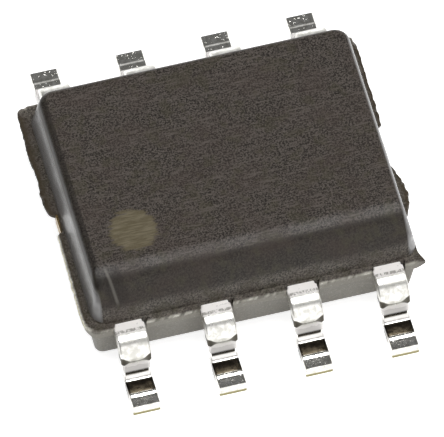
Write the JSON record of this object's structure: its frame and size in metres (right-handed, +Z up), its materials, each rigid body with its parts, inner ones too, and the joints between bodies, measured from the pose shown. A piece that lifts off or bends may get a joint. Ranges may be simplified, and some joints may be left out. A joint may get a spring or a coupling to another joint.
{
  "type": "small-outline integrated circuit",
  "caption": "Surface-mount chip: dark moulded body with one bevelled side and a pin-one dot, gull-wing tinned leads and a bare heat pad underneath.",
  "frame": {"origin": "centre of the outline on the board, under the middle of the body, on the plane of the eight feet", "axes": "+X along the rows of leads from lead 1 to lead 4, +Y across the body from the bevelled side, with leads 1 to 4, to leads 5 to 8, +Z up off the board"},
  "size_m": [0.0051, 0.006, 0.0015],
  "materials": {
    "mould_compound": "matt filled epoxy with a fine spark-eroded grain and paler torn flash",
    "tinned_copper": "bright tin plate over copper alloy",
    "silver_epoxy": "grey silver-filled glue",
    "silicon": "polished grey silicon",
    "gold_wire": "drawn gold"
  },
  "bodies": {
    "root": {"moulded_body": "mould_compound", "die_paddle": "tinned_copper", "die_attach": "silver_epoxy", "silicon_die": "silicon", "lead_1": "tinned_copper", "lead_2": "tinned_copper", "lead_3": "tinned_copper", "lead_4": "tinned_copper", "lead_5": "tinned_copper", "lead_6": "tinned_copper", "lead_7": "tinned_copper", "lead_8": "tinned_copper", "bond_wire_1": "gold_wire", "bond_wire_2": "gold_wire", "bond_wire_3": "gold_wire", "bond_wire_4": "gold_wire", "bond_wire_5": "gold_wire", "bond_wire_6": "gold_wire", "bond_wire_7": "gold_wire", "bond_wire_8": "gold_wire"}
  },
  "joints": []
}
